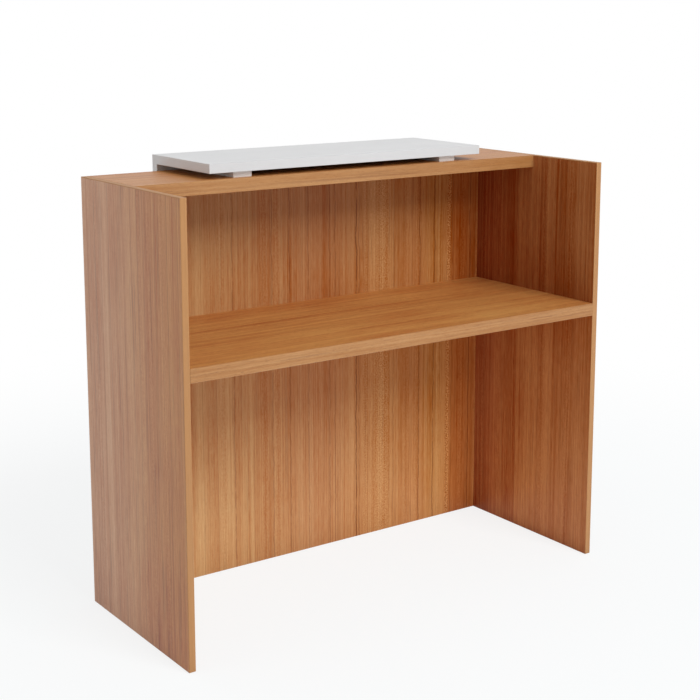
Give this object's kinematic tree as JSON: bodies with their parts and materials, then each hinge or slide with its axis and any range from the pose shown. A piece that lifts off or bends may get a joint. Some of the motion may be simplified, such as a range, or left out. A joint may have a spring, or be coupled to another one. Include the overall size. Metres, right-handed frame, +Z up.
{
  "type": "reception desk",
  "caption": "Panel-built reception desk in wood-look board with a sitting-height worktop, a standing-height shelf and a white stand-off counter with a mitred fascia.",
  "frame": {"origin": "on the floor, under the middle of the whole desk's box", "axes": "+X to the clerk's right, +Y towards the visitor, +Z up; the clerk works on the -Y side"},
  "size_m": [1.356, 0.574, 1.211],
  "materials": {
    "wood_board": "satin melamine with a straight warm brown grain",
    "wood_edge": "satin edge band with a printed straight grain",
    "white_board": "satin white melamine",
    "white_edge": "satin white edge band",
    "beech": "raw beech",
    "zinc": "die-cast zinc",
    "steel": "zinc-plated steel",
    "nylon": "black nylon"
  },
  "bodies": {
    "root": {"left_end_panel": "wood_board", "left_end_panel_front_band": "wood_edge", "left_end_panel_back_band": "wood_edge", "left_end_panel_top_band": "wood_edge", "right_end_panel": "wood_board", "right_end_panel_front_band": "wood_edge", "right_end_panel_back_band": "wood_edge", "right_end_panel_top_band": "wood_edge", "front_panel": "wood_board", "worktop": "wood_board", "worktop_front_band": "wood_edge", "counter_shelf": "wood_board", "counter_shelf_front_band": "wood_edge", "counter_shelf_back_band": "wood_edge", "left_counter_rail": "white_board", "right_counter_rail": "white_board", "left_fascia_batten": "white_board", "right_fascia_batten": "white_board", "raised_counter_board": "white_board", "raised_counter_front_band": "white_edge", "raised_counter_left_band": "white_edge", "raised_counter_right_band": "white_edge", "fascia_board": "white_board", "fascia_bottom_band": "white_edge", "fascia_left_band": "white_edge", "fascia_right_band": "white_edge", "mitre_biscuit_left": "beech", "mitre_biscuit_right": "beech", "worktop_cam_left_front": "zinc", "worktop_cam_left_back": "zinc", "worktop_cam_right_front": "zinc", "worktop_cam_right_back": "zinc", "worktop_cam_bolt_left_front": "steel", "worktop_cam_bolt_left_back": "steel", "worktop_cam_bolt_right_front": "steel", "worktop_cam_bolt_right_back": "steel", "shelf_cam_left_front": "zinc", "shelf_cam_left_back": "zinc", "shelf_cam_right_front": "zinc", "shelf_cam_right_back": "zinc", "shelf_cam_bolt_left_front": "steel", "shelf_cam_bolt_left_back": "steel", "shelf_cam_bolt_right_front": "steel", "shelf_cam_bolt_right_back": "steel", "counter_screw_left_front": "steel", "counter_screw_left_back": "steel", "counter_screw_right_front": "steel", "counter_screw_right_back": "steel", "fascia_screw_left_lower": "steel", "fascia_screw_left_upper": "steel", "fascia_screw_right_lower": "steel", "fascia_screw_right_upper": "steel", "front_panel_dowel_left_lower": "beech", "front_panel_dowel_left_upper": "beech", "front_panel_dowel_right_lower": "beech", "front_panel_dowel_right_upper": "beech", "floor_glide_left_front": "nylon", "floor_glide_left_back": "nylon", "floor_glide_right_front": "nylon", "floor_glide_right_back": "nylon"}
  },
  "joints": []
}
